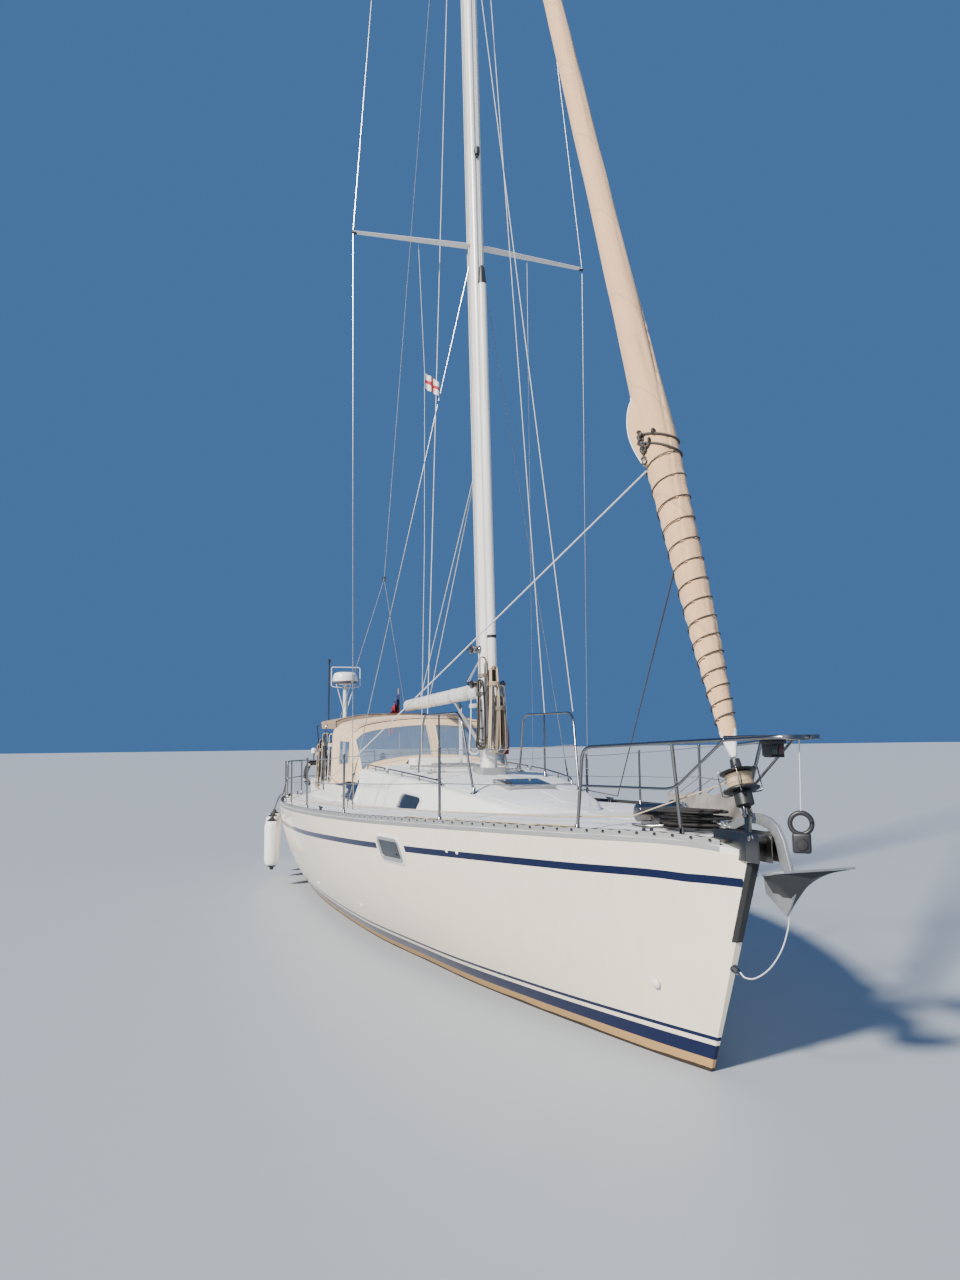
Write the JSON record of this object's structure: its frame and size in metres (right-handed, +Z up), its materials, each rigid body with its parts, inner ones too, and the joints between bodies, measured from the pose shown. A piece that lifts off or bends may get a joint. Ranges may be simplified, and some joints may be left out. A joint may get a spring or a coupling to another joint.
{
  "type": "sailing yacht",
  "caption": "Aft-cockpit cruising sailing yacht with fin keel, spade rudder, swinging boom, rolled headsail, sprayhood and bimini, guard rails and bow anchor.",
  "frame": {"origin": "on the waterline, amidships on the centreline, at the water mount", "axes": "+X forward to the bow, +Y to port, +Z up"},
  "size_m": [13.1909, 4.0917, 19.41],
  "materials": {
    "topsides": "warm white gelcoat, glossy, navy stripes",
    "deck_gelcoat": "non-slip white gelcoat",
    "roof_gelcoat": "white gelcoat",
    "antifouling": "dull bottom paint with growth",
    "stainless": "polished tube",
    "anodised": "weathered anodising",
    "galvanised": "hot-dip galvanised",
    "bronze": "dull bronze",
    "mast_paint": "white paint",
    "wire_rope": "stainless wire",
    "black_plastic": "moulded",
    "smoked_acrylic": "smoked acrylic in a metal rim",
    "sailcloth": "beige sun strip",
    "canvas": "tan acrylic canvas",
    "dark_canvas": "dark woven cover",
    "fender_vinyl": "scuffed vinyl",
    "varnished_wood": "varnish"
  },
  "bodies": {
    "yacht": {"hull": "topsides", "cockpit": "roof_gelcoat", "deck": "deck_gelcoat", "toe_rail_starboard": "anodised", "toe_rail_port": "anodised", "coachroof": "roof_gelcoat", "cockpit_coaming": "roof_gelcoat", "keel": "antifouling", "shaft_bracket": "bronze", "bow_fitting": "stainless", "anchor": "galvanised", "windlass": "stainless", "pulpit": "stainless", "pushpit_starboard": "stainless", "pushpit_port": "stainless", "guard_rail_starboard": "stainless", "guard_rail_port": "stainless", "mast_shoe": "anodised", "mast": "mast_paint", "lower_spreader_starboard": "mast_paint", "lower_spreader_port": "mast_paint", "upper_spreader_starboard": "mast_paint", "upper_spreader_port": "mast_paint", "cap_shroud_starboard": "wire_rope", "cap_shroud_port": "wire_rope", "lower_shroud_starboard": "wire_rope", "lower_shroud_port": "wire_rope", "backstay": "wire_rope", "furling_drum": "black_plastic", "furled_headsail": "sailcloth", "masthead": "anodised", "whisker_pole": "mast_paint", "gooseneck": "stainless", "kicker_bracket": "stainless", "washboard": "smoked_acrylic", "mast_guard_starboard": "stainless", "mast_guard_port": "stainless", "primary_winch_starboard": "stainless", "primary_winch_port": "stainless", "steering_pedestal": "roof_gelcoat", "sprayhood": "canvas", "bimini": "canvas", "bimini_frame": "stainless", "radar_pole": "mast_paint", "radar_dome": "mast_paint", "ladder_bracket": "stainless", "ensign_staff": "varnished_wood", "fender_1": "fender_vinyl", "fender_2": "fender_vinyl", "fender_3": "fender_vinyl", "horseshoe_buoy": "dark_canvas"},
    "boom": {"boom": "mast_paint", "kicker": "anodised"},
    "rudder": {"rudder": "antifouling"},
    "steering_wheel": {"steering_wheel": "stainless"},
    "propeller": {"propeller": "bronze"},
    "fore_hatch": {"fore_hatch": "smoked_acrylic"},
    "saloon_hatch": {"saloon_hatch": "smoked_acrylic"},
    "companion_hatch": {"companion_hatch": "smoked_acrylic"},
    "boarding_ladder": {"boarding_ladder": "stainless"}
  },
  "joints": [
    {"name": "boom_swing", "type": "hinge", "parent": "yacht", "child": "boom", "pos_m": [0.70745, 0, 2.7], "axis": [-0.0471, 0, 0.9989], "range_deg": [-52, 56]},
    {"name": "wheel_turn", "type": "hinge", "parent": "yacht", "child": "steering_wheel", "pos_m": [-4.79, 0, 1.4], "axis": [1, 0, 0], "range_deg": [-350, 350]},
    {"name": "rudder_turn", "type": "hinge", "parent": "yacht", "child": "rudder", "pos_m": [-4.95, 0, -0.235], "axis": [0, 0, 1], "range_deg": [-35, 35]},
    {"name": "propeller_spin", "type": "hinge", "parent": "yacht", "child": "propeller", "pos_m": [-3.05, 0, -0.47], "axis": [-0.9877, 0, -0.1564], "continuous": true},
    {"name": "fore_hatch_lift", "type": "hinge", "parent": "yacht", "child": "fore_hatch", "pos_m": [2.3009, 0, 1.6424], "axis": [0, 1, 0], "range_deg": [0, 90]},
    {"name": "saloon_hatch_lift", "type": "hinge", "parent": "yacht", "child": "saloon_hatch", "pos_m": [-0.23975, 0, 1.8005], "axis": [0, 1, 0], "range_deg": [0, 90]},
    {"name": "companion_hatch_slide", "type": "slide", "parent": "yacht", "child": "companion_hatch", "axis": [1, 0, 0], "range_m": [0, 0.56]},
    {"name": "ladder_fold", "type": "hinge", "parent": "yacht", "child": "boarding_ladder", "pos_m": [-6.475, 0, 1.215], "axis": [0, -1, 0], "range_deg": [0, 160]}
  ],
  "couplings": [
    {"joint": "rudder_turn", "follows": "wheel_turn", "ratio": 0.1}
  ]
}
